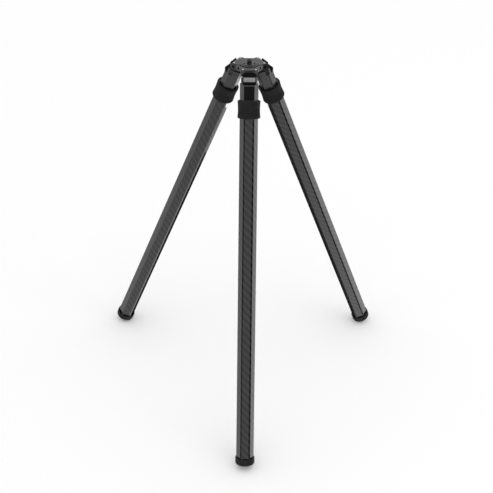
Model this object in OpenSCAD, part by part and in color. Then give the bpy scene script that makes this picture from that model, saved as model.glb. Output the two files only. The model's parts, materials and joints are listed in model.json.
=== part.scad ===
// Three-legged camera support: a flat head platform on a spider with three folding legs.
// Each leg is a set of nested hexagonal tubes under a shoulder bracket with a twist collar.
// Origin: centre of the platform's top face. +Z up. The front leg points along -Y.

/* [Platform] */
// Diameter of the round head platform
platform_d = 31; // [30:0.1:31.4]
// Diameter of the spider's ring round the platform
ring_d = 36.8; // [36:0.1:37]
// Height of the platform above that ring
ring_step = 0.9; // [0.6:0.1:1.2]
// Height of the platform above the spider's arms
platform_step = 2; // [1.8:0.1:2]
// Height of the head stud above the platform
stud_h = 6.4; // [4:0.2:9]
// Major diameter of the head stud's thread, 3/8 inch
stud_d = 9.525; // [9.4:0.005:9.6]

/* [Spider] */
// Distance of each leg's hinge from the centre line
hinge_r = 26; // [26:0.2:28]
// Depth of each hinge below the platform's top face
hinge_drop = 9.2; // [9.2:0.05:9.4]
// Width of a spider arm over its two ears
arm_w = 31.6; // [31:0.1:32]
// Width of the slot between the ears
slot_w = 19.9; // [19.8:0.05:20]
// Distance of the flats between the arms from the centre line
web_r = 23.9; // [23.5:0.1:24.5]

/* [Legs] */
// Angle of each leg from vertical at the first stop
leg_tilt = 22.16; // [0:0.01:60]
// Distance from the hinge to the outer tube's lower end
leg_l = 779.7; // [760:0.1:900]
// Width of the outer tube across its flats
tube_af = 31.5; // [31.4:0.05:31.6]
// Width of the middle tube across its flats
mid_af = 27.5; // [27.3:0.05:27.7]
// Width of the inner tube across its flats
inner_af = 23.9; // [23.7:0.05:24.1]
// Wall of the outer tube
tube_wall = 1.5; // [1.4:0.05:1.5]
// Wall of the middle tube
mid_wall = 1.3; // [1.2:0.05:1.3]
// Wall of the inner tube
inner_wall = 1.2; // [1.1:0.05:1.2]
// Rounding of the outer tube's corners
tube_corner = 4.5; // [4.3:0.1:4.6]

/* [Shoulder bracket] */
// Width of the shoulder bracket across its flats
yoke_af = 31.2; // [31.2:0.05:31.6]
// Rounding of the bracket's corners
yoke_corner = 3; // [2:0.1:3.2]
// Radius of the spider's ears
ear_r = 7.2; // [7:0.05:7.2]
// Radius of the hinge barrel between the ears
barrel_r = 5.6; // [5.4:0.05:5.6]
// Depth of the recess in the bracket's outer face
recess_depth = 2.4; // [1.5:0.1:3]

/* [Twist collar] */
// Length of the twist collar
collar_l = 34.4; // [33:0.2:36]
// Diameter of the collar at its two rims
collar_d = 43.7; // [42:0.1:43.8]
// Depth of the collar's waist
collar_waist = 0.9; // [0.4:0.1:1.4]

/* [Foot] */
// Diameter of the foot cup
foot_d = 38.8; // [38:0.1:42]
// Depth of the foot cup below the outer tube's end
foot_drop = 6.6; // [6:0.1:12]

/* [Hidden] */
leg_names = ["front", "right", "left"];
leg_azimuths = [-90, 30, 150];
web_azimuths = [-150, -30, 90];
shared_names = [
    "spider", "top_plate", "plate_screws", "head_lock_screws", "hinge_pins", "hinge_lock_screws",
    "hinge_washers", "accessory_inserts", "head_stud", "stud_knob", "stud_washer", "knob_screw"
];
leg_parts = [
    "yoke", "outer_tube", "latch", "latch_tab", "latch_bolt", "latch_spring", "collar_grip",
    "collar_core", "drive_rod", "mid_tube", "mid_lock", "mid_cam", "inner_tube", "inner_lock",
    "inner_cam", "foot"
];

$fn = 96;
eps = 0.01;
gap = 0.1;                                      // clearance of sliding and turning fits
glue = 0.1;                                     // glue line between a plug and its tube
far = 100;                                      // longer than any cut needs

// Spider and platform, heights in the row frame
spider_top = -platform_step;
spider_bottom = -hinge_drop - ear_r;
web_top = spider_top - 0.6;
slot_play = 0.2;                                // room round the hinge barrel
hood_angle = 60;                                // front edge of the hood over the barrel, above level
web_half_w = (web_r * cos(30) - arm_w / 2) / sin(30) + 1.5;  // ends inside the arms
plate_bottom = -4;
pocket_bottom = -8.2;                           // floor of the stud's pocket
pocket_r = 8;
pin_r = 3.5;
pin_play = 0.05;
lock_x = 12.1;                                  // side distance of the hinge lock screws
lock_screw_r = 2;
lock_dome_r = 2.1;
lock_dome_h = 0.95;
lock_socket_r = 3.2;
lock_socket_h = 0.9;
head_lock_r = 11.2;                             // circle of the head lock screws
head_screw_r = 2;
plate_screw_circle = 13;
plate_screw_r = 1.5;
plate_screw_head_r = 3;
plate_screw_head_h = 3;
insert_r = 3.4;                                 // accessory insert, outside
insert_bore_r = 2.55;                           // 1/4 inch thread, minor radius
insert_l = 5.3;
insert_z = -6.4;
web_bottom = insert_z - insert_r - 1.4;
pocket_at = 17;                                 // hollows in the hub, under the flats
hub_pocket_r = 6;

// Stations along a leg: height above the hinge, measured along the leg
shoulder_top = -8.6;                            // underside of the ears' room
latch_low = -21.8;
collar_top = -50.6;
collar_bottom = collar_top - collar_l;
collar_mid = (collar_top + collar_bottom) / 2;
plug_bottom = collar_bottom - 3;
tube_bottom = -leg_l;
foot_bottom = tube_bottom - foot_drop;

// Shoulder bracket and latch
barrel_w = slot_w - 0.5;
latch_u = 8.6;                                  // inner face of the latch block
latch_play = 0.2;
latch_w = 25.6;
latch_corner = 3;
neck_w = 31.2;                                  // bracket's width beside the ears
neck_u = 5.2;                                   // front of the neck, clear of the hood
neck_low = -18.9;                               // where the bracket's side corners begin
recess_w = 19.8;
recess_low = collar_top + 0.6;
recess_high = -24.2;
bolt_w = -14.6;
bolt_r = 2.5;
bolt_head_r = 4.2;
bolt_head_u = -9;
spring_wire_r = 0.45;
spring_coil_r = 3.4;
spring_turns = 4;
cavity_u = 3.2;                                 // inside face of the latch wall
tab_w = 22.4;
tab_outline = [[10.3, -7.6], [12.8, -7.6], [15.5, -12.7], [15.3, -15.8], [13.2, -15.8], [13.2, -13]];
hollow_r = 9.5;

// Twist drive
core_inner_r = (tube_af / 2 - tube_corner) / cos(30) + tube_corner + 0.12;
core_outer_r = 19.2;
arm_reach = 18.3;
drive_arm_w = 5;
drive_arm_h = 6;
drive_z = collar_mid;
twist_max = 45;
slot_margin = 18;
rod_af = 8;
rod_low = -642;
sleeve_af = 13;
sleeve_low = -692;

// Locks on the sliding tubes, tube corners
mid_corner = 3.2;
inner_corner = 2.6;
mid_inner_af = mid_af - 2 * mid_wall;
inner_inner_af = inner_af - 2 * inner_wall;
mid_lock_top = -92;
mid_top = -112;
mid_lock_low = -135;
inner_lock_top = -137.5;
inner_top = -157;
inner_lock_low = -178;
lock_cap = 2;
mid_cam_r = 8.9;
inner_cam_r = 8.6;

// Foot
foot_rim = tube_bottom + 9.5;
foot_floor = tube_bottom - 0.6;
foot_hollow_r = core_inner_r + 0.4;
foot_flat_r = 10;
foot_plug_top = tube_bottom + 24;

// Points of a hexagon with rounded corners and a flat facing +X
function hex_points(af, corner, steps = 6) = [
    for (k = [0 : 5], i = [0 : steps])
        let (reach = (af / 2 - corner) / cos(30), middle = 60 * k + 30, a = 60 * k + 60 * i / steps)
        [reach * cos(middle) + corner * cos(a), reach * sin(middle) + corner * sin(a)]
];

// Points of a circular arc
function arc(r, from, to, steps, centre = [0, 0]) = [
    for (i = [0 : steps])
        let (a = from + (to - from) * i / steps)
        [centre[0] + r * cos(a), centre[1] + r * sin(a)]
];

// Places its children on a leg: +X outward, +Z up along the leg, origin at the hinge
module on_leg(k) {
    rotate([0, 0, leg_azimuths[k]])
        translate([hinge_r, 0, -hinge_drop])
            rotate([0, -leg_tilt, 0])
                children();
}

// Copies its children onto every arm, +X outward
module each_arm(azimuths = leg_azimuths) {
    for (a = azimuths)
        rotate([0, 0, a])
            children();
}

module upright(r, low, high) {
    translate([0, 0, low])
        cylinder(r = r, h = high - low);
}

module across(r, w) {
    rotate([90, 0, 0])
        cylinder(r = r, h = w, center = true);
}

module hex_bar(af, corner, low, high) {
    translate([0, 0, low])
        linear_extrude(high - low)
            polygon(hex_points(af, corner));
}

module hex_tube(af, corner, wall, low, high) {
    difference() {
        hex_bar(af, corner, low, high);
        hex_bar(af - 2 * wall, max(corner - wall, 0.5), low - 1, high + 1);
    }
}

module box(low, high) {
    translate(low)
        cube(high - low);
}

// A piece of even width, drawn in side view: points are (outward, up)
module side_outline(width, points) {
    rotate([90, 0, 0])
        translate([0, 0, -width / 2])
            linear_extrude(width)
                polygon(points);
}

// ---- Spider and platform ----

// A bar that ends in a round nose about the hinge
module arm() {
    nose = arc(ear_r, 90, -80, 24, [hinge_r, -hinge_drop]);
    side_outline(arm_w, concat([[0, spider_bottom + 0.1], [0, spider_top]], nose));
}

// Room for the hinge barrel and the leg's neck, under a hood that joins the ears
module slot() {
    r = barrel_r + slot_play;
    room = arc(r, 180, hood_angle, 20, [hinge_r, -hinge_drop]);
    side_outline(slot_w, concat(room, [
        [hinge_r + far * cos(hood_angle), far * sin(hood_angle) - hinge_drop],
        [hinge_r + far, -far], [hinge_r - r, -far]
    ]));
}

module web() {
    translate([0, 0, web_bottom])
        linear_extrude(web_top - web_bottom)
            polygon([
                for (a = web_azimuths, side = [-1, 1])
                    [web_r * cos(a) - side * web_half_w * sin(a),
                     web_r * sin(a) + side * web_half_w * cos(a)]
            ]);
}

module spider() {
    color([0.27, 0.27, 0.28])
        difference() {
            union() {
                web();
                upright(ring_d / 2, web_top - 1, -ring_step);
                each_arm()
                    arm();
            }
            each_arm() {
                slot();
                translate([hinge_r, 0, -hinge_drop])
                    across(pin_r, far);
                for (side = [-1, 1])
                    translate([hinge_r, side * lock_x, 0]) {
                        upright(lock_screw_r, -hinge_drop, 1);
                        upright(lock_socket_r, spider_top - lock_socket_h, 1);
                    }
                translate([plate_screw_circle, 0, 0]) {
                    upright(plate_screw_r, spider_bottom - 1, 1);
                    upright(plate_screw_head_r, spider_bottom - 1, spider_bottom + plate_screw_head_h + 0.1);
                }
            }
            each_arm(web_azimuths) {
                translate([web_r - insert_l, 0, insert_z])
                    rotate([0, 90, 0])
                        cylinder(r = insert_r, h = far);
                translate([head_lock_r, 0, 0])
                    upright(head_screw_r, spider_bottom - 1, 1);
                translate([pocket_at, 0, 0])
                    upright(hub_pocket_r, spider_bottom - 1, web_bottom + 0.6);
            }
            upright(platform_d / 2 + 0.05, plate_bottom, 1);
            upright(pocket_r, pocket_bottom, 1);
            upright(5.2, spider_bottom - 1, 1);
        }
}

module top_plate() {
    color([0.3, 0.3, 0.31])
        difference() {
            translate([0, 0, plate_bottom])
                rotate_extrude()
                    polygon([
                        [stud_d / 2 + 0.1, 0], [platform_d / 2, 0], [platform_d / 2, -plate_bottom - 0.5],
                        [platform_d / 2 - 0.5, -plate_bottom], [stud_d / 2 + 0.1, -plate_bottom]
                    ]);
            each_arm(web_azimuths)
                translate([head_lock_r, 0, 0])
                    upright(head_screw_r, plate_bottom - 1, 1);
            each_arm()
                translate([plate_screw_circle, 0, 0])
                    upright(plate_screw_r, plate_bottom - 1, -1.2);
        }
}

module plate_screws() {
    color("silver")
        each_arm()
            translate([plate_screw_circle, 0, 0])
                difference() {
                    union() {
                        upright(plate_screw_r, spider_bottom + plate_screw_head_h, -1.3);
                        upright(plate_screw_head_r - gap, spider_bottom + 0.3, spider_bottom + plate_screw_head_h);
                    }
                    translate([0, 0, spider_bottom])
                        cylinder(r = 1.45, h = 1.9, $fn = 6);
                }
}

module head_lock_screws() {
    color([0.12, 0.12, 0.12])
        each_arm(web_azimuths)
            translate([head_lock_r, 0, 0])
                difference() {
                    upright(head_screw_r, -11, -0.7);
                    upright(1.1, -2.4, 1, $fn = 6);
                }
}

module hinge_pins() {
    color("silver")
        each_arm()
            translate([hinge_r, 0, -hinge_drop])
                difference() {
                    across(pin_r, arm_w - 0.8);
                    for (side = [-1, 1])
                        rotate([side * 90, 0, 0])
                            translate([0, 0, arm_w / 2 - 2.8])
                                cylinder(r = 2, h = far, $fn = 6);
                }
}

// Screws with polished domed heads that hold each hinge pin in the ears
module hinge_lock_screws() {
    dome_sphere_r = (lock_dome_r * lock_dome_r + lock_dome_h * lock_dome_h) / (2 * lock_dome_h);
    color([0.9, 0.9, 0.9])
        each_arm()
            for (side = [-1, 1])
                translate([hinge_r, side * lock_x, 0]) {
                    upright(lock_screw_r, -hinge_drop + pin_r + gap, spider_top - lock_socket_h);
                    upright(lock_dome_r, spider_top - lock_socket_h, spider_top);
                    intersection() {
                        translate([0, 0, spider_top + lock_dome_h - dome_sphere_r])
                            sphere(r = dome_sphere_r);
                        upright(lock_dome_r, spider_top, 1);
                    }
                }
}

// Thrust washers between the ears and the hinge barrels
module hinge_washers() {
    color("gold")
        each_arm()
            for (side = [-1, 1])
                translate([hinge_r, side * (slot_w + barrel_w) / 4, -hinge_drop])
                    difference() {
                        across(barrel_r - 0.2, (slot_w - barrel_w) / 2 - 0.04);
                        across(pin_r + pin_play, far);
                    }
}

module accessory_inserts() {
    color("silver")
        each_arm(web_azimuths)
            translate([web_r - insert_l, 0, insert_z])
                rotate([0, 90, 0])
                    difference() {
                        cylinder(r = insert_r, h = insert_l - 0.1);
                        translate([0, 0, -1])
                            cylinder(r = insert_bore_r, h = insert_l + 2);
                    }
}

// ---- Head stud ----

module head_stud() {
    color("dimgray")
        difference() {
            union() {
                upright(stud_d / 2, 0, stud_h - 0.7);
                translate([0, 0, stud_h - 0.7])
                    cylinder(r1 = stud_d / 2, r2 = stud_d / 2 - 0.7, h = 0.7);
                upright(4.6, plate_bottom - gap, 0);
                upright(pocket_r - 0.6, -7, plate_bottom - gap);
                upright(5, spider_bottom - 7, -7);
            }
            upright(1.7, spider_bottom - 8, spider_bottom + 4);
            upright(1.9, stud_h - 3, far, $fn = 6);
        }
}

module stud_washer() {
    color("gold")
        difference() {
            upright(pocket_r - gap, pocket_bottom, -7.1);
            upright(5.1, pocket_bottom - 1, 0);
        }
}

module stud_knob() {
    grooves = 18;
    knob_r = 8.6;
    knob_top = spider_bottom - 0.4;
    knob_low = knob_top - 11;
    color([0.2, 0.2, 0.2])
        difference() {
            union() {
                upright(knob_r, knob_low + 1, knob_top);
                translate([0, 0, knob_low])
                    cylinder(r1 = knob_r - 1, r2 = knob_r, h = 1);
            }
            for (i = [0 : grooves - 1])
                rotate([0, 0, i * 360 / grooves])
                    translate([knob_r + 0.5, 0, knob_low - 1])
                        cylinder(r = 1, h = 10, $fn = 24);
            upright(5.05, spider_bottom - 7.1, 1);
            upright(1.9, knob_low - 1, 0);
            upright(3.6, knob_low - 1, knob_low + 2);
        }
}

module knob_screw() {
    knob_low = spider_bottom - 11.4;
    color("silver")
        difference() {
            union() {
                upright(3.5, knob_low + 0.1, knob_low + 2);
                upright(1.7, knob_low + 2, spider_bottom + 3.8);
            }
            upright(1.4, knob_low - 1, knob_low + 1.3, $fn = 6);
        }
}

// ---- Shoulder bracket ----

module yoke() {
    color([0.25, 0.25, 0.26])
        difference() {
            union() {
                hex_bar(yoke_af, yoke_corner, collar_top, latch_low);
                intersection() {
                    hex_bar(yoke_af, yoke_corner, latch_low - eps, shoulder_top);
                    union() {
                        box([-far, -neck_w / 2, -far], [latch_u - latch_play, neck_w / 2, 0]);
                        box([-far, -far, -far], [latch_u - latch_play, far, neck_low]);
                    }
                }
                box([-barrel_r, -barrel_w / 2, shoulder_top - 1], [neck_u, barrel_w / 2, 0]);
                across(barrel_r, barrel_w);
                hex_bar(tube_af - 2 * tube_wall - glue, tube_corner - tube_wall, plug_bottom, collar_top + eps);
            }
            across(pin_r + pin_play, far);
            upright(hollow_r, -far, recess_high + 2);
            box([bolt_head_u - 3, -5, latch_low - 2], [cavity_u, 5, bolt_w + 5]);
            translate([0, 0, bolt_w])
                rotate([0, 90, 0])
                    cylinder(r = bolt_r + pin_play, h = far);
            box([yoke_af / 2 - recess_depth, -recess_w / 2, recess_low], [far, recess_w / 2, recess_high]);
            drive_slots();
        }
}

// Windows that let the drive rod's arms turn with the collar
module drive_slots() {
    low = 90 - slot_margin;
    high = 90 + twist_max + slot_margin;
    for (side = [0, 180])
        rotate([0, 0, side])
            translate([0, 0, drive_z - drive_arm_h / 2 - 0.4])
                linear_extrude(drive_arm_h + 0.8)
                    polygon(concat([[0, 0]], arc(30, low, high, 2)));
}

// ---- Angle latch ----

// Sloping finger plate with an undercut below the tab and a stop nose on top
module latch() {
    low = latch_low + latch_play;
    half_w = latch_w / 2;
    plate = [
        [latch_u, low], [12.2, low], [12.2, -18], [14.7, -17.3], [15.4, -16.5], [15.6, -12.7],
        [10.3, -2.6], [9.6, -1.2], [latch_u, -0.8]
    ];
    nose = [[latch_u, -3], [latch_u, 2.2], [10.2, 2.2], [11, 1.7], [11.4, 0.8], [11.4, -0.1], [10.6, -0.7]];
    color([0.1, 0.1, 0.1])
        difference() {
            union() {
                intersection() {
                    side_outline(latch_w, plate);
                    rotate([90, 0, 90])
                        linear_extrude(far)
                            polygon(concat(
                                [[half_w, 5], [-half_w, 5]],
                                arc(latch_corner, 180, 270, 8, [latch_corner - half_w, low + latch_corner]),
                                arc(latch_corner, 270, 360, 8, [half_w - latch_corner, low + latch_corner])
                            ));
                }
                side_outline(barrel_w, nose);
            }
            side_outline(tab_w + 0.4, [[10.1, -7.4], [far, -7.4], [far, -16], [13.1, -16], [13.1, -13]]);
            translate([0, 0, bolt_w])
                rotate([0, 90, 0])
                    cylinder(r = 1.75, h = 12);
        }
}

// Light finger tab, let into the plate; it follows the slope and turns in below the ridge
module latch_tab() {
    color([0.75, 0.75, 0.76])
        side_outline(tab_w, tab_outline);
}

// Shoulder bolt that guides the latch and carries its spring
module latch_bolt() {
    color("silver")
        translate([0, 0, bolt_w])
            rotate([0, 90, 0])
                difference() {
                    union() {
                        upright(bolt_r, bolt_head_u, latch_u - gap);
                        upright(1.7, latch_u - gap, 11.8);
                        upright(bolt_head_r, bolt_head_u - 1.6, bolt_head_u);
                    }
                    upright(1.5, -far, bolt_head_u, $fn = 6);
                }
}

// Return spring: a coil of round wire round the bolt, swept as rings of wire sections
module latch_spring() {
    sides = 8;
    steps = 20 * spring_turns;
    low = bolt_head_u + spring_wire_r + 0.1;
    high = cavity_u - spring_wire_r - 0.1;
    points = [
        for (i = [0 : steps], j = [0 : sides - 1])
            let (turn = 360 * spring_turns * i / steps, section = 360 * j / sides,
                 r = spring_coil_r + spring_wire_r * cos(section))
            [r * cos(turn), r * sin(turn), low + (high - low) * i / steps + spring_wire_r * sin(section)]
    ];
    walls = [
        for (i = [0 : steps - 1], j = [0 : sides - 1], half = [0, 1])
            let (a = i * sides + j, b = i * sides + (j + 1) % sides)
            half == 0 ? [a, a + sides, b] : [b, a + sides, b + sides]
    ];
    ends = [[for (j = [0 : sides - 1]) j], [for (j = [sides - 1 : -1 : 0]) steps * sides + j]];
    color("silver")
        translate([0, 0, bolt_w])
            rotate([0, 90, 0])
                polyhedron(points, concat(walls, ends));
}

// ---- Tubes ----

module outer_tube() {
    color([0.16, 0.16, 0.17])
        difference() {
            hex_tube(tube_af, tube_corner, tube_wall, tube_bottom, collar_top - 0.2);
            drive_slots();
        }
}

module mid_tube() {
    color([0.14, 0.14, 0.15])
        hex_tube(mid_af, mid_corner, mid_wall, tube_bottom, mid_top);
}

module inner_tube() {
    color([0.12, 0.12, 0.13])
        hex_tube(inner_af, inner_corner, inner_wall, tube_bottom, inner_top);
}

// ---- Twist collar and drive ----

// Side outline of the rubber grip: chamfered rims and a saddle-shaped waist
module collar_grip() {
    steps = 16;
    rim = 2.5;
    half = collar_l / 2 - rim;
    waist = [
        for (i = [0 : steps])
            let (z = -half + 2 * half * i / steps)
            [collar_d / 2 - collar_waist * (1 - pow(z / half, 2)), collar_mid + z]
    ];
    color([0.09, 0.09, 0.09])
        rotate_extrude()
            polygon(concat(
                [[core_outer_r, collar_bottom], [collar_d / 2 - rim, collar_bottom]],
                waist,
                [[collar_d / 2 - rim, collar_top - 0.3], [core_outer_r, collar_top - 0.3]]
            ));
}

module collar_core() {
    color([0.2, 0.2, 0.2])
        difference() {
            upright(core_outer_r, collar_bottom, collar_top - 2.5);
            upright(core_inner_r, -far, 0);
            translate([0, 0, drive_z])
                cube([drive_arm_w + 0.1, 2 * arm_reach + 0.4, drive_arm_h + 0.1], center = true);
        }
}

// Hexagonal rod that carries the collar's twist down to the locks
module drive_rod() {
    color("silver")
        union() {
            hex_bar(rod_af, 0.3, rod_low, drive_z);
            upright(6.5, drive_z - 4, drive_z + 4);
            translate([0, 0, drive_z])
                cube([drive_arm_w, 2 * arm_reach, drive_arm_h], center = true);
        }
}

// ---- Locks on the sliding tubes ----

// Housing that guides a tube inside the next one and holds a turning cam
module lock_housing(head_af, head_corner, plug_af, plug_corner, bore_r, neck_r, top, step, low) {
    difference() {
        union() {
            hex_bar(head_af, head_corner, step, top);
            hex_bar(plug_af, plug_corner, low, step + eps);
        }
        upright(bore_r, low + lock_cap, top - lock_cap);
        upright(neck_r, low - 1, top + 1);
    }
}

module mid_lock() {
    color([0.35, 0.35, 0.36])
        lock_housing(tube_af - 2 * tube_wall - 2 * gap, tube_corner - tube_wall, mid_inner_af - 2 * glue,
                     mid_corner - mid_wall, mid_cam_r + gap, 7.8, mid_lock_top, mid_top, mid_lock_low);
}

module mid_cam() {
    color("silver")
        difference() {
            union() {
                upright(mid_cam_r, mid_lock_low + lock_cap + gap, mid_lock_top - lock_cap - gap);
                hex_bar(sleeve_af, 0.6, sleeve_low, mid_lock_low + lock_cap + 1);
            }
            hex_bar(rod_af + 0.4, 0.2, sleeve_low - 1, 0);
        }
}

module inner_lock() {
    color([0.35, 0.35, 0.36])
        lock_housing(mid_inner_af - 2 * gap, mid_corner - mid_wall, inner_inner_af - 2 * glue,
                     inner_corner - inner_wall, inner_cam_r + gap, 7.9, inner_lock_top, inner_top,
                     inner_lock_low);
}

module inner_cam() {
    color("silver")
        difference() {
            upright(inner_cam_r, inner_lock_low + lock_cap + gap, inner_lock_top - lock_cap - gap);
            hex_bar(sleeve_af + 0.4, 0.5, -far * 2, 0);
        }
}

// ---- Foot ----

// Bowl-shaped rubber foot on a plug; its rim closes round the outer tube
module foot() {
    bowl_r = foot_d / 2;
    side_z = foot_floor - 0.6;
    bowl = [
        for (i = [0 : 8])
            let (a = 90 * i / 8)
            [foot_flat_r + (bowl_r - foot_flat_r) * sin(a),
             foot_bottom + (side_z - foot_bottom) * (1 - cos(a))]
    ];
    color([0.08, 0.08, 0.08])
        union() {
            rotate_extrude()
                polygon(concat(
                    [[0, foot_floor], [0, foot_bottom]],
                    bowl,
                    [[bowl_r, foot_rim - 0.8], [bowl_r - 0.6, foot_rim], [foot_hollow_r, foot_rim],
                     [foot_hollow_r, foot_floor]]
                ));
            hex_bar(inner_inner_af - 2 * glue, inner_corner - inner_wall, foot_floor - 1, foot_plug_top);
        }
}

// ---- Assembly ----

spider();
top_plate();
plate_screws();
head_lock_screws();
hinge_pins();
hinge_lock_screws();
hinge_washers();
accessory_inserts();
head_stud();
stud_knob();
stud_washer();
knob_screw();
for (k = [0 : 2]) {
    leg = leg_names[k];
    on_leg(k) yoke();
    on_leg(k) outer_tube();
    on_leg(k) latch();
    on_leg(k) latch_tab();
    on_leg(k) latch_bolt();
    on_leg(k) latch_spring();
    on_leg(k) collar_grip();
    on_leg(k) collar_core();
    on_leg(k) drive_rod();
    on_leg(k) mid_tube();
    on_leg(k) mid_lock();
    on_leg(k) mid_cam();
    on_leg(k) inner_tube();
    on_leg(k) inner_lock();
    on_leg(k) inner_cam();
    on_leg(k) foot();
}
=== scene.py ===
"""Looks of the tripod leg set: carbon tubes, knurled collars, rubber feet, threads, materials and studio."""

import json
import math

import bpy
from mathutils import Matrix, Vector


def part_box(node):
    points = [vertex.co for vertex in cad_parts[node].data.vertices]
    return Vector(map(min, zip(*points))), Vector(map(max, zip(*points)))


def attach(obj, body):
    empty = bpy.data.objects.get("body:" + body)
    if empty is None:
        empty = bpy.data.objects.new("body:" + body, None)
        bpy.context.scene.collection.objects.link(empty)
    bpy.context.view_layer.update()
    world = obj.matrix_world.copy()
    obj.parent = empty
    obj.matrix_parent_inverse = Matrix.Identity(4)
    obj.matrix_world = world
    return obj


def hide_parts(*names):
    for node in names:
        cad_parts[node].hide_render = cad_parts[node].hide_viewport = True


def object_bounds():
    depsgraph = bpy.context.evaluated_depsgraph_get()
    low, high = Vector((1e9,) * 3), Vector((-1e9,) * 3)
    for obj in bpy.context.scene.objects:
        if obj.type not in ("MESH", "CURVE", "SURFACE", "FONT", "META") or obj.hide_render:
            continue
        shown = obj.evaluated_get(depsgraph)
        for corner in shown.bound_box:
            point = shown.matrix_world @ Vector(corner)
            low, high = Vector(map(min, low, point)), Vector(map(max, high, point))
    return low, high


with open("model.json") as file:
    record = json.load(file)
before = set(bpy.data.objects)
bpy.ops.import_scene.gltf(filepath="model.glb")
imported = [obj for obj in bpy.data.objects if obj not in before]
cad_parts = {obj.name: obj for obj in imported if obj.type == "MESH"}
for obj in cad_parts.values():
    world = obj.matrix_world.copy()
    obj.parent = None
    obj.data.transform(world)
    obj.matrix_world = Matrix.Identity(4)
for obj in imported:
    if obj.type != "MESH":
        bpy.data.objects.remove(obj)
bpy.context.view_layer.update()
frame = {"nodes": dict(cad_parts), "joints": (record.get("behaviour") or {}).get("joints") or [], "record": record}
NODES = frame["nodes"]
JOINTS = {joint["name"]: joint for joint in frame["joints"]}
LEGS = ("front", "right", "left")
MM = 0.001
TAU = 2 * math.pi


# ---- Places taken from the frame ----


def leg_frame(leg):
    """Matrix from a leg's own axes (outward, side, up along the leg, from the hinge) to the row frame."""
    outward = Vector(JOINTS["latch_pull_" + leg]["axis"]).normalized()
    up = Vector(JOINTS["collar_twist_" + leg]["axis"]).normalized()
    matrix = Matrix((outward, up.cross(outward), up)).transposed().to_4x4()
    matrix.translation = Vector(JOINTS["spread_" + leg]["pos_m"])
    return matrix


def local_box(node, matrix):
    """Lowest and highest corner of a CAD node in the axes of the matrix."""
    inverse = matrix.inverted()
    points = [inverse @ vertex.co for vertex in NODES[node].data.vertices]
    low = Vector([min(point[i] for point in points) for i in range(3)])
    high = Vector([max(point[i] for point in points) for i in range(3)])
    return low, high


# ---- Mesh helpers ----


def add_piece(name, vertices, faces, body, matrix=None, uvs=None, sharp_angle=32):
    """Makes a mesh piece that rides on a CAD body. uvs holds one (u, v) per face corner, in metres."""
    mesh = bpy.data.meshes.new(name)
    mesh.from_pydata(vertices, [], faces)
    mesh.update()
    if uvs:
        layer = mesh.uv_layers.new(name="weave")
        for loop, uv in zip(layer.data, uvs):
            loop.uv = uv
    piece = bpy.data.objects.new(name, mesh)
    bpy.context.scene.collection.objects.link(piece)
    if matrix is not None:
        piece.matrix_world = matrix
    mesh.shade_smooth()
    mesh.set_sharp_from_angle(angle=math.radians(sharp_angle))
    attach(piece, body)
    return piece


def loft(rings, closed=False, caps=False):
    """Vertices and faces of a skin over rings that have the same number of points."""
    count = len(rings[0])
    vertices = [point for ring in rings for point in ring]
    faces = []
    last = len(rings) if closed else len(rings) - 1
    for i in range(last):
        below = i * count
        above = (i + 1) % len(rings) * count
        for j in range(count):
            k = (j + 1) % count
            faces.append((below + j, below + k, above + k, above + j))
    if caps:
        faces.append(tuple(reversed(range(count))))
        faces.append(tuple(range((len(rings) - 1) * count, len(rings) * count)))
    return vertices, faces


def lathe(outline, steps, closed=False, caps=False, ripple=None):
    """Skin turned about Z from (radius, height) points. ripple(angle, radius, height) gives a new radius."""
    rings = []
    for radius, height in outline:
        ring = []
        for i in range(steps):
            angle = TAU * i / steps
            r = ripple(angle, radius, height) if ripple else radius
            ring.append((r * math.cos(angle), r * math.sin(angle), height))
        rings.append(ring)
    return loft(rings, closed, caps)


def rounded_hexagon(flats, corner, steps):
    """Points (x, y, distance along the outline) of a hexagon with rounded corners and a flat facing +X."""
    reach = (flats / 2 - corner) / math.cos(math.radians(30))
    points = []
    length = 0
    for k in range(6):
        middle = math.radians(60 * k + 30)
        for i in range(steps + 1):
            angle = math.radians(60 * k + 60 * i / steps)
            x = reach * math.cos(middle) + corner * math.cos(angle)
            y = reach * math.sin(middle) + corner * math.sin(angle)
            if points:
                length += math.hypot(x - points[-1][0], y - points[-1][1])
            points.append((x, y, length))
    first, last = points[0], points[-1]
    return points, length + math.hypot(first[0] - last[0], first[1] - last[1])


def weighted_normals(piece):
    """Shades flat faces flat beside the small roundings of their edges."""
    modifier = piece.modifiers.new("face weights", "WEIGHTED_NORMAL")
    modifier.keep_sharp = True
    modifier.weight = 80


# ---- Materials ----


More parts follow.
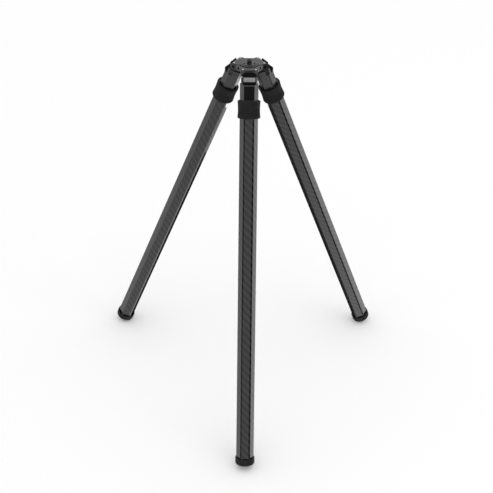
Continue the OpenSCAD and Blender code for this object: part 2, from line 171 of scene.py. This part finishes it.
class Graph:
    """Short calls for the shader nodes that the materials and the studio below share."""

    def __init__(self, owner):
        owner.use_nodes = True
        self.owner = owner
        self.nodes = owner.node_tree.nodes
        self.links = owner.node_tree.links

    def put(self, socket, value):
        if isinstance(value, bpy.types.NodeSocket):
            self.links.new(value, socket)
        elif isinstance(value, tuple) and len(value) == 3 and socket.type == "RGBA":
            socket.default_value = (*value, 1)
        else:
            socket.default_value = value

    def add(self, kind, output=0, settings=None, **inputs):
        """Adds a node; inputs are socket names (spaces as underscores) or i0, i1 for numbered sockets."""
        node = self.nodes.new(kind)
        for key, value in (settings or {}).items():
            setattr(node, key, value)
        for key, value in inputs.items():
            numbered = key[0] == "i" and key[1:].isdigit()
            self.put(node.inputs[int(key[1:]) if numbered else key.replace("_", " ")], value)
        return node.outputs[output]

    def math(self, operation, a, b=0.0, c=0.0):
        return self.add("ShaderNodeMath", settings={"operation": operation}, i0=a, i1=b, i2=c)

    def mix(self, factor, a, b):
        """Mix of two numbers."""
        return self.add("ShaderNodeMix", settings={"data_type": "FLOAT"}, i0=factor, i2=a, i3=b)

    def tint(self, factor, a, b):
        """Mix of two colours."""
        return self.add("ShaderNodeMix", 2, {"data_type": "RGBA"}, i0=factor, i6=a, i7=b)

    def noise(self, vector, scale, detail=3.0, roughness=0.55):
        return self.add(
            "ShaderNodeTexNoise", Vector=vector, Scale=scale, Detail=detail, Roughness=roughness
        )

    def place(self, output=3):
        """Texture coordinates of the piece itself, in metres."""
        return self.add("ShaderNodeTexCoord", output)

    def stretched(self, vector, scale):
        return self.add("ShaderNodeMapping", Vector=vector, Scale=scale)

    def range(self, value, low, high, to_low, to_high):
        return self.add(
            "ShaderNodeMapRange", Value=value, From_Min=low, From_Max=high, To_Min=to_low, To_Max=to_high
        )

    def bump(self, height, distance, strength=1.0, normal=None):
        inputs = {"Strength": strength, "Distance": distance, "Height": height}
        if normal is not None:
            inputs["Normal"] = normal
        return self.add("ShaderNodeBump", **inputs)

    def edges(self, amount):
        """0 on faces, rising to amount on worn outer edges."""
        pointiness = self.add("ShaderNodeNewGeometry", 7)
        return self.range(pointiness, 0.52, 0.62, 0.0, amount)

    def set(self, **inputs):
        """Sets the inputs of the material's Principled shader."""
        for key, value in inputs.items():
            self.put(self.nodes["Principled BSDF"].inputs[key.replace("_", " ")], value)
        return self.owner


def new_material(name):
    return Graph(bpy.data.materials.new(name))


def carbon_twill(name, tow):
    """Clear-coated 2x2 twill: flat tows that pass over two and under two, with a fibre grain in each. Its colour
    has a painted sheen that makes warp tows lighter than weft tows, and painted shade towards each tow's edges.
    """
    g = new_material(name)
    uv = g.add("ShaderNodeUVMap", settings={"uv_map": "weave"})
    split = g.nodes.new("ShaderNodeSeparateXYZ")
    g.put(split.inputs[0], uv)
    across = g.math("DIVIDE", split.outputs[0], tow)
    along = g.math("DIVIDE", split.outputs[1], tow)
    diagonal = g.math("ADD", g.math("FLOOR", across), g.math("FLOOR", along))
    warp = g.math("LESS_THAN", g.math("FLOORED_MODULO", diagonal, 4.0), 2.0)
    crown_warp = g.math("SINE", g.math("MULTIPLY", g.math("FRACT", across), math.pi))
    crown_weft = g.math("SINE", g.math("MULTIPLY", g.math("FRACT", along), math.pi))
    crown = g.mix(warp, crown_weft, crown_warp)
    grain_warp = g.noise(g.stretched(uv, (9000, 500, 1)), 1.0, 2.0)
    grain_weft = g.noise(g.stretched(uv, (500, 9000, 1)), 1.0, 2.0)
    grain = g.mix(warp, grain_weft, grain_warp)
    patch = g.noise(g.place(), 45.0, 2.0)
    # Painted shade: the colour darkens towards each tow's edges (square root of its crown), times the fibre grain
    # and random tone patches.
    painted_tow_shade_grain_patches = g.math("MULTIPLY", g.math("POWER", crown, 0.5), g.range(grain, 0.3, 0.7, 0.75, 1.15))
    painted_tow_shade_grain_patches = g.math("MULTIPLY", painted_tow_shade_grain_patches, g.range(patch, 0.3, 0.7, 0.85, 1.1))
    # Painted sheen: warp tows are coloured lighter than weft tows, standing in for the fibres' sheen in the light.
    painted_tow_sheen = g.tint(warp, (0.003, 0.003, 0.0031), (0.024, 0.024, 0.0244))
    color = g.add("ShaderNodeMix", 2, {"data_type": "RGBA", "blend_type": "MULTIPLY"}, i0=1.0, i6=painted_tow_sheen,
                  i7=g.add("ShaderNodeCombineColor", Red=painted_tow_shade_grain_patches, Green=painted_tow_shade_grain_patches, Blue=painted_tow_shade_grain_patches))
    relief = g.math("ADD", crown, g.math("MULTIPLY", grain, 0.15))
    smudge = g.noise(g.place(), 30.0, 4.0)
    return g.set(
        Base_Color=color, Roughness=g.mix(warp, 0.42, 0.34), Specular_IOR_Level=0.04,
        Normal=g.bump(relief, 0.0002, 0.5), Coat_Weight=1.0, Coat_IOR=1.5,
        Coat_Roughness=g.range(smudge, 0.3, 0.75, 0.06, 0.14),
    )


def anodised(name, color, roughness=0.38, grain=0.00002):
    """Blasted and anodised aluminium: even satin skin with a fine grain and brighter worn edges."""
    g = new_material(name)
    fine = g.noise(g.place(), 3500.0, 2.0)
    cloud = g.noise(g.place(), 60.0, 4.0)
    worn = tuple(min(1.0, 3.5 * c + 0.02) for c in color)
    base = g.tint(g.edges(0.35), color, worn)
    base = g.add("ShaderNodeMix", 2, {"data_type": "RGBA", "blend_type": "MULTIPLY"},
                 i0=g.range(cloud, 0.3, 0.7, 0.0, 0.35), i6=base, i7=(0.6, 0.6, 0.6))
    return g.set(
        Base_Color=base, Roughness=g.range(cloud, 0.3, 0.7, roughness - 0.05, roughness + 0.07),
        Specular_IOR_Level=0.55, Normal=g.bump(fine, grain, 0.6),
    )


def rubber(name, color, roughness=0.72):
    """Moulded rubber: dull skin with a pebble grain and rubbed, slightly grey edges."""
    g = new_material(name)
    pebble = g.add("ShaderNodeTexVoronoi", Vector=g.place(), Scale=1400.0)
    dust = g.noise(g.place(), 90.0, 5.0)
    rubbed = tuple(2.2 * c + 0.01 for c in color)
    base = g.tint(g.math("MAXIMUM", g.edges(0.5), g.range(dust, 0.5, 0.8, 0.0, 0.35)), color, rubbed)
    return g.set(
        Base_Color=base, Roughness=g.range(dust, 0.3, 0.7, roughness - 0.06, roughness + 0.08),
        Specular_IOR_Level=0.22, Normal=g.bump(pebble, 0.00006, 0.5),
    )


def moulded(name, color, roughness=0.5, shine=0.45):
    """Fine-grained hard plastic."""
    g = new_material(name)
    grain = g.noise(g.place(), 2600.0, 3.0)
    cloud = g.noise(g.place(), 50.0, 3.0)
    lighter = tuple(1.6 * c + 0.004 for c in color)
    return g.set(
        Base_Color=g.tint(g.edges(0.5), color, lighter), Specular_IOR_Level=shine,
        Roughness=g.range(cloud, 0.3, 0.7, roughness - 0.06, roughness + 0.06),
        Normal=g.bump(grain, 0.00003, 0.5),
    )


def metal(name, color, roughness, brushed=(300, 300, 12000)):
    """Bare or plated metal with fine drawn scratches."""
    g = new_material(name)
    scratches = g.noise(g.stretched(g.place(), brushed), 1.0, 4.0, 0.7)
    cloud = g.noise(g.place(), 120.0, 3.0)
    dull = tuple(0.7 * c for c in color)
    return g.set(
        Base_Color=g.tint(g.range(cloud, 0.35, 0.7, 0.0, 0.5), color, dull), Metallic=1.0,
        Roughness=g.range(scratches, 0.3, 0.7, 0.7 * roughness, 1.3 * roughness),
        Normal=g.bump(scratches, 0.00001, 0.35),
    )


MATERIALS = {
    "anodised": anodised("black_anodised", (0.020, 0.020, 0.021), 0.3),
    # The recess material is painted shade: near-black and barely reflecting, for the floor of the brackets'
    # recesses.
    "recess": moulded("painted_shade_pad", (0.006, 0.006, 0.0062), 0.7, 0.05),
    "latch_black": moulded("latch_black", (0.003, 0.003, 0.0031), 0.45, 0.08),
    "latch_metal": metal("latch_silver", (0.28, 0.28, 0.285), 0.34, (12000, 300, 300)),
    "rubber": rubber("grip_rubber", (0.010, 0.010, 0.0102)),
    "foot": rubber("foot_rubber", (0.011, 0.011, 0.0112), 0.62),
    "lock_plastic": moulded("lock_plastic", (0.03, 0.03, 0.031), 0.45),
    "steel": metal("steel", (0.5, 0.5, 0.51), 0.28),
    "black_steel": metal("black_steel", (0.06, 0.06, 0.062), 0.38),
    "polished_steel": metal("polished_steel", (0.62, 0.62, 0.62), 0.14),
    "brass": metal("brass", (0.72, 0.55, 0.27), 0.3),
    "drive_metal": metal("drive_metal", (0.55, 0.55, 0.56), 0.35),
}


# ---- Machined CAD nodes: rounded edges and their materials ----


def finish_cad_node(node, material, edge=0.0):
    """Gives a CAD node its material and, where edge is not 0, a small rounding on every sharp edge."""
    obj = NODES[node]
    obj.data.materials.clear()
    obj.data.materials.append(MATERIALS[material])
    if edge:
        weld = obj.modifiers.new("weld", "WELD")
        weld.merge_threshold = 0.005 * MM
        planar = obj.modifiers.new("planar", "DECIMATE")
        planar.decimate_type = "DISSOLVE"
        planar.angle_limit = math.radians(1)
        bevel = obj.modifiers.new("edge", "BEVEL")
        bevel.width = edge
        bevel.segments = 3
        bevel.limit_method = "ANGLE"
        bevel.angle_limit = math.radians(35)
        bevel.use_clamp_overlap = True
        weighted_normals(obj)


def finish_cad_nodes():
    """Materials for all CAD nodes, and rounded edges on the machined ones, with radii in mm."""
    slots = {row["node"]: row["material_slot"] for row in frame["record"]["subparts"]}
    rounded = {"spider": 0.45, "top_plate": 0.25, "stud_knob": 0.3}
    for leg in LEGS:
        rounded["yoke_" + leg] = 0.5
        rounded["latch_" + leg] = 0.4
        rounded["latch_tab_" + leg] = 0.25
    for node in NODES:
        material = slots[node]
        if material == "carbon":
            material = "lock_plastic"
        finish_cad_node(node, material, rounded.get(node, 0) * MM)


# ---- Tubes ----

WEAVE_REPEAT = 15 * MM  # four tows of the twill, fitted to a whole number round the tube


def carbon_tube(name, leg, body, node, corner, wall, top):
    """Hexagonal tube with rounded corners and a weave map that runs round it without a break."""
    matrix = leg_frame(leg)
    low, high = local_box(node, matrix)
    flats = 2 * high.x
    steps = 8
    edge = 0.25 * MM
    outer, girth = rounded_hexagon(flats, corner, steps)
    relieved, _ = rounded_hexagon(flats - 2 * edge, corner - edge, steps)
    inner, _ = rounded_hexagon(flats - 2 * wall, max(corner - wall, 0.8 * MM), steps)
    sections = [
        (outer, low.z + edge), (outer, top - edge), (relieved, top), (inner, top),
        (inner, low.z), (relieved, low.z),
    ]
    rings = [[(x, y, z) for x, y, _ in outline] for outline, z in sections]
    vertices, faces = loft(rings, closed=True)
    count = len(outer)
    along = [outer[j][2] for j in range(count)] + [girth]
    uvs = []
    for i in range(len(sections)):
        z0 = sections[i][1]
        z1 = sections[(i + 1) % len(sections)][1]
        for j in range(count):
            uvs += [(along[j], z0), (along[j + 1], z0), (along[j + 1], z1), (along[j], z1)]
    piece = add_piece(name, vertices, faces, body, matrix, uvs)
    weighted_normals(piece)
    repeats = round(girth / WEAVE_REPEAT)
    key = "carbon_" + node.rsplit("_", 1)[0]
    if key not in MATERIALS:
        MATERIALS[key] = carbon_twill(key, girth / (4 * repeats))
    piece.data.materials.append(MATERIALS[key])
    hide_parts(node)
    return piece


def make_tubes():
    for leg in LEGS:
        matrix = leg_frame(leg)
        collar_low, collar_high = local_box("collar_grip_" + leg, matrix)
        inside_collar = (2 * collar_low.z + collar_high.z) / 3
        carbon_tube("carbon_tube_outer_" + leg, leg, "leg_" + leg, "outer_tube_" + leg, 4.5 * MM,
                    1.5 * MM, inside_collar)
        for part, corner, wall in (("mid", 3.2 * MM, 1.3 * MM), ("inner", 2.6 * MM, 1.2 * MM)):
            node = part + "_tube_" + leg
            carbon_tube("carbon_tube_" + part + "_" + leg, leg, part + "_" + leg, node, corner, wall,
                        local_box(node, matrix)[1].z)


# ---- Rubber ----

KNURL_COUNT = 72


def make_collar(leg):
    """Rubber grip: rounded rims, a groove inside the upper rim, a saddle waist and a diamond knurl."""
    matrix = leg_frame(leg)
    low, high = local_box("collar_grip_" + leg, matrix)
    core = local_box("collar_core_" + leg, matrix)[1]
    rim_r = high.x
    rim = 2.6 * MM
    waist = 0.9 * MM
    middle = (high.z + low.z) / 2
    side = (high.z - low.z) / 2 - rim
    rows = 60
    outline = [(core.x, low.z), (rim_r - rim, low.z)]
    outline += [rim_point(rim_r, rim, low.z + rim, angle) for angle in (-72, -54, -36, -18)]
    for i in range(rows + 1):
        z = side * (2 * i / rows - 1)
        outline.append((rim_r - waist * (1 - (z / side) ** 2), middle + z))
    outline += [rim_point(rim_r, rim, high.z - rim, angle) for angle in (18, 36, 54, 72)]
    outline += [(rim_r - rim, high.z), (core.x, high.z - 0.3 * MM), (core.x, core.z)]
    diamonds = knurl(middle, side, rim_r - 2 * waist)
    steps = 5 * KNURL_COUNT
    vertices, faces = lathe(outline, steps, closed=True, ripple=diamonds)
    piece = add_piece("grip_" + leg, vertices, faces, "collar_" + leg, matrix, sharp_angle=50)
    piece.data.materials.append(MATERIALS["rubber"])
    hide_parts("collar_grip_" + leg)


def rim_point(rim_r, rim, centre_z, angle):
    """Point (radius, height) on a rounded rim, angle in degrees from straight outward."""
    a = math.radians(angle)
    return rim_r - rim + rim * math.cos(a), centre_z + rim * math.sin(a)


def knurl(middle, side, from_radius):
    """Radius rule for a band of small diamonds on the lower part of the collar."""
    depth = 0.28 * MM
    pitch = 2.2 * MM
    fade_length = 1.5 * MM
    band_low = middle - side + 1 * MM
    band_high = middle + 3 * MM

    def ripple(angle, radius, height):
        fade = min(1.0, (height - band_low) / fade_length, (band_high - height) / fade_length)
        if radius < from_radius or fade <= 0:
            return radius
        turn = KNURL_COUNT * angle / 2
        climb = math.pi * (height - middle) / pitch
        diamond = abs(math.sin(turn + climb)) * abs(math.sin(turn - climb))
        return radius - depth * fade * (1 - min(1.0, 1.8 * diamond))

    return ripple


def make_foot(leg):
    """Rubber foot: a bowl with a rolled rim and shallow tread grooves on a plug."""
    matrix = leg_frame(leg)
    low, high = local_box("foot_" + leg, matrix)
    tube_end = local_box("outer_tube_" + leg, matrix)[0].z
    bowl_r = high.x
    cup_r = local_box("outer_tube_" + leg, matrix)[1].y + 0.35 * MM
    flat_r = 0.52 * bowl_r
    floor_z = tube_end - 0.6 * MM
    rim_z = tube_end + 9.5 * MM
    plug_r = 9 * MM
    centre_r = 0.4 * MM
    outline = [(centre_r, low.z), (flat_r, low.z)]
    steps = 12
    for i in range(1, steps + 1):
        a = math.pi / 2 * i / steps
        radius = flat_r + (bowl_r - flat_r) * math.sin(a)
        outline.append((radius, low.z + (floor_z - 0.6 * MM - low.z) * (1 - math.cos(a))))
    groove = 0.3 * MM
    for z in (2.2, 4.0):
        base = floor_z + z * MM
        outline += [(bowl_r, base - 0.4 * MM), (bowl_r - groove, base - 0.2 * MM),
                    (bowl_r - groove, base + 0.2 * MM), (bowl_r, base + 0.4 * MM)]
    outline += [(bowl_r, rim_z - 0.8 * MM), (bowl_r - 0.25 * MM, rim_z - 0.2 * MM),
                (bowl_r - 0.7 * MM, rim_z), (cup_r, rim_z - 0.1 * MM), (cup_r, floor_z)]
    outline += [(plug_r, floor_z), (plug_r, high.z - 1 * MM), (plug_r - 0.8 * MM, high.z),
                (centre_r, high.z)]
    vertices, faces = lathe(outline, 96, caps=True)
    body = "inner_" + leg
    piece = add_piece("rubber_foot_" + leg, vertices, faces, body, matrix, sharp_angle=40)
    piece.data.materials.append(MATERIALS["foot"])
    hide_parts("foot_" + leg)


# ---- Head stud ----


def make_stud():
    """Captive head screw with a rolled 16-per-inch thread above the platform and its flange below."""
    low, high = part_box("head_stud")
    plate_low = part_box("top_plate")[0].z
    mounts = {mount["name"]: mount for mount in frame["record"]["mounts"]}
    major = mounts["top_stud"]["dims"]["r_mm"] * MM
    pitch = 25.4 / 16 * MM
    depth = 0.6 * pitch
    steps = 64
    rows_per_pitch = 10
    thread_low = -1 * MM
    rows = int((high.z - thread_low) / pitch * rows_per_pitch)
    shank_r = 5 * MM
    flange_r = 7.4 * MM
    flange_low = -7 * MM
    flange_high = plate_low - 0.1 * MM
    plain = ((low.z, 4.6 * MM), (low.z + 0.4 * MM, shank_r), (flange_low, shank_r),
             (flange_low, flange_r), (flange_high, flange_r), (flange_high, major - depth))
    rings = []
    for z, radius in plain:
        rings.append([(radius * math.cos(TAU * j / steps), radius * math.sin(TAU * j / steps), z)
                      for j in range(steps)])
    for i in range(rows + 1):
        z = thread_low + (high.z - thread_low) * i / rows
        lead = min(1.0, max(0.0, (high.z - z) / (0.9 * MM)))
        ring = []
        for j in range(steps):
            phase = (z / pitch - j / steps) % 1
            crest = min(1.0, max(0.0, 1.25 - 2.5 * abs(phase - 0.5)))
            radius = major - depth * (1 - crest)
            radius = min(radius, major - 0.9 * MM * (1 - lead))
            ring.append((radius * math.cos(TAU * j / steps), radius * math.sin(TAU * j / steps), z))
        rings.append(ring)
    socket_r = 1.9 * MM
    socket_z = high.z - 2.6 * MM
    for radius, z in ((socket_r, high.z), (socket_r, socket_z)):
        rings.append([hexagon_point(radius, j / steps, z) for j in range(steps)])
    vertices, faces = loft(rings, caps=True)
    piece = add_piece("threaded_stud", vertices, faces, "stud", sharp_angle=38)
    piece.data.materials.append(MATERIALS["black_steel"])
    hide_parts("head_stud")


def hexagon_point(corner_r, share, z):
    """Point at a share of a turn on a hexagon whose corners lie at corner_r."""
    angle = TAU * share
    within = (angle % (TAU / 6)) - TAU / 12
    radius = corner_r * math.cos(TAU / 12) / math.cos(within)
    return (radius * math.cos(angle), radius * math.sin(angle), z)


# ---- Painted-shade pads in the recesses of the shoulder brackets ----


def make_painted_shade_pad(leg):
    """Near-black, barely reflecting pad on the floor of the bracket's outer recess: painted shade of the recess.
    """
    matrix = leg_frame(leg)
    floor_u = local_box("yoke_" + leg, matrix)[1].x - 2.4 * MM
    latch_low = local_box("latch_" + leg, matrix)[0].z
    collar_high = local_box("collar_grip_" + leg, matrix)[1].z
    half_w = 9.7 * MM
    low_z = collar_high + 1.1 * MM
    high_z = latch_low - 2.8 * MM
    corner = 1.2 * MM
    raised = 0.9 * MM
    side = half_w - corner
    top = high_z - corner
    bottom = low_z + corner
    corners = ((side, top, 0), (-side, top, 90), (-side, bottom, 180), (side, bottom, 270))

    def outline(inset, u):
        points = []
        radius = corner - inset
        for centre_y, centre_z, start in corners:
            for i in range(7):
                a = math.radians(start + 15 * i)
                points.append((u, centre_y + radius * math.cos(a), centre_z + radius * math.sin(a)))
        return points

    rings = [outline(0, floor_u + 0.01 * MM), outline(0, floor_u + raised - 0.3 * MM),
             outline(0.3 * MM, floor_u + raised)]
    vertices, faces = loft(rings, caps=True)
    piece = add_piece("painted_shade_pad_" + leg, vertices, faces, "leg_" + leg, matrix)
    piece.data.materials.append(MATERIALS["recess"])


# ---- Studio ----

CAMERA_AZIMUTH = -91.139
CAMERA_ELEVATION = 35.005
CAMERA_ROLL = 1.101
CAMERA_DISTANCE = 2.4489
TARGET_Z = -0.4251
LENS_MM = 85.149
SHIFT_X = 0.00147


def make_camera():
    """Camera on the photo's line of sight, aimed at a point on the tripod's centre line."""
    data = bpy.data.cameras.new("camera")
    data.sensor_width = 36
    data.lens = LENS_MM
    data.shift_x = SHIFT_X
    camera = bpy.data.objects.new("camera", data)
    azimuth = math.radians(CAMERA_AZIMUTH)
    elevation = math.radians(CAMERA_ELEVATION)
    towards = Vector((math.cos(azimuth) * math.cos(elevation), math.sin(azimuth) * math.cos(elevation),
                      math.sin(elevation)))
    turn = towards.to_track_quat("Z", "Y").to_matrix() @ Matrix.Rotation(math.radians(CAMERA_ROLL), 3, "Z")
    camera.matrix_world = turn.to_4x4()
    camera.location = Vector((0, 0, TARGET_Z)) + CAMERA_DISTANCE * towards
    bpy.context.scene.collection.objects.link(camera)
    bpy.context.scene.camera = camera


# Panels and flags that only shiny surfaces see, later ones on top of earlier ones.
# Each is (direction, degrees within which it is full, degrees beyond which it is gone, brightness).
REFLECTIONS = (
    ((-0.86, 0.33, -0.385), 22, 40, 0.85),
    ((0.86, 0.33, -0.385), 22, 40, 1.45),
    ((0.45, -0.25, -0.86), 18, 32, 1.8),
    ((0.62, -0.5, -0.6), 16, 24, 0.02),
    ((0.261, 0.668, -0.697), 20, 34, 0.02),
    ((-0.261, 0.668, -0.697), 18, 32, 0.02),
    ((-0.441, -0.007, -0.898), 14, 28, 0.1),
    ((0.441, -0.007, -0.898), 7, 18, 2.4),
    ((0.844, -0.535, -0.022), 38, 50, 0.02),
    ((-0.844, -0.535, 0.03), 24, 34, 0.02),
)
FLOOR_SIZE = 20
KEY_LIGHT = ((1.6, -1.2, 2.4), 2.0, 8)
KEY_TARGET = (0, 0, -0.3)
# Rim lights low behind the legs, which brighten the inner faces of the shoulder brackets and tubes.
# Each is name: (place, side of the square, power in watts).
RIM_LIGHTS = {
    "rim_left": ((0.070, 0.182, -0.231), 0.06, 0.034),
    "rim_left_wide": ((0.155, 0.355, -0.368), 0.3, 0.14),
    "rim_right": ((-0.070, 0.182, -0.231), 0.06, 0.0045),
}
RIM_TARGET = (0, 0, -0.05)


def studio_reflection(g, direction):
    """Brightness of the studio in a direction: white, with black flags and bright panels."""
    level = 1.0
    for centre, inside, outside, brightness in REFLECTIONS:
        facing = g.add("ShaderNodeVectorMath", 1, {"operation": "DOT_PRODUCT"}, i0=direction,
                       i1=tuple(Vector(centre).normalized()))
        share = g.add("ShaderNodeMapRange", settings={"interpolation_type": "SMOOTHSTEP"}, Value=facing,
                      From_Min=math.cos(math.radians(outside)), From_Max=math.cos(math.radians(inside)))
        level = g.mix(share, level, brightness)
    return level


def make_floor():
    """Pale floor at the feet; reflections see the studio's panels in its place."""
    mesh = bpy.data.meshes.new("floor")
    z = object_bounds()[0].z
    half = FLOOR_SIZE / 2
    corners = [(-half, -half, z), (half, -half, z), (half, half, z), (-half, half, z)]
    mesh.from_pydata(corners, [], [(0, 1, 2, 3)])
    floor = bpy.data.objects.new("floor", mesh)
    bpy.context.scene.collection.objects.link(floor)
    g = new_material("floor")
    g.set(Base_Color=(0.97, 0.97, 0.97), Roughness=0.9, Specular_IOR_Level=0.0)
    incoming = g.add("ShaderNodeNewGeometry", 4)
    away = g.add("ShaderNodeVectorMath", 0, {"operation": "SCALE"}, i0=incoming, Scale=-1.0)
    glow = g.add("ShaderNodeEmission", Strength=studio_reflection(g, away))
    glossy_ray = g.add("ShaderNodeLightPath", 3)
    mixed = g.add("ShaderNodeMixShader", i0=glossy_ray, i1=g.nodes["Principled BSDF"].outputs[0], i2=glow)
    g.links.new(mixed, g.nodes["Material Output"].inputs["Surface"])
    g.owner.cycles.emission_sampling = "NONE"
    mesh.materials.append(g.owner)


def add_area(name, place, size, power, target, in_reflections):
    """Square light aimed at a target. The camera never sees it, and reflections only if asked."""
    data = bpy.data.lights.new(name, "AREA")
    data.shape = "SQUARE"
    data.size = size
    data.energy = power
    light = bpy.data.objects.new(name, data)
    light.location = place
    light.rotation_euler = (Vector(place) - Vector(target)).to_track_quat("Z", "Y").to_euler()
    light.visible_camera = False
    light.visible_glossy = in_reflections
    bpy.context.scene.collection.objects.link(light)


def make_lights():
    """White surround for the camera and dull surfaces, the panels for shiny ones, and the lights."""
    world = bpy.data.worlds.new("studio")
    bpy.context.scene.world = world
    g = Graph(world)
    world.cycles.sampling_method = "NONE"
    direction = g.add("ShaderNodeTexCoord", 0)
    glossy_ray = g.add("ShaderNodeLightPath", 3)
    g.put(g.nodes["Background"].inputs["Color"], (1, 1, 1))
    g.put(g.nodes["Background"].inputs["Strength"], g.mix(glossy_ray, 1.0, studio_reflection(g, direction)))
    add_area("key", *KEY_LIGHT, KEY_TARGET, in_reflections=False)
    for name, light in RIM_LIGHTS.items():
        add_area(name, *light, RIM_TARGET, in_reflections=True)
    bpy.context.scene.view_settings.view_transform = "Standard"


make_tubes()
for leg in LEGS:
    make_collar(leg)
    make_foot(leg)
    make_painted_shade_pad(leg)
make_stud()
finish_cad_nodes()
make_camera()
make_floor()
make_lights()
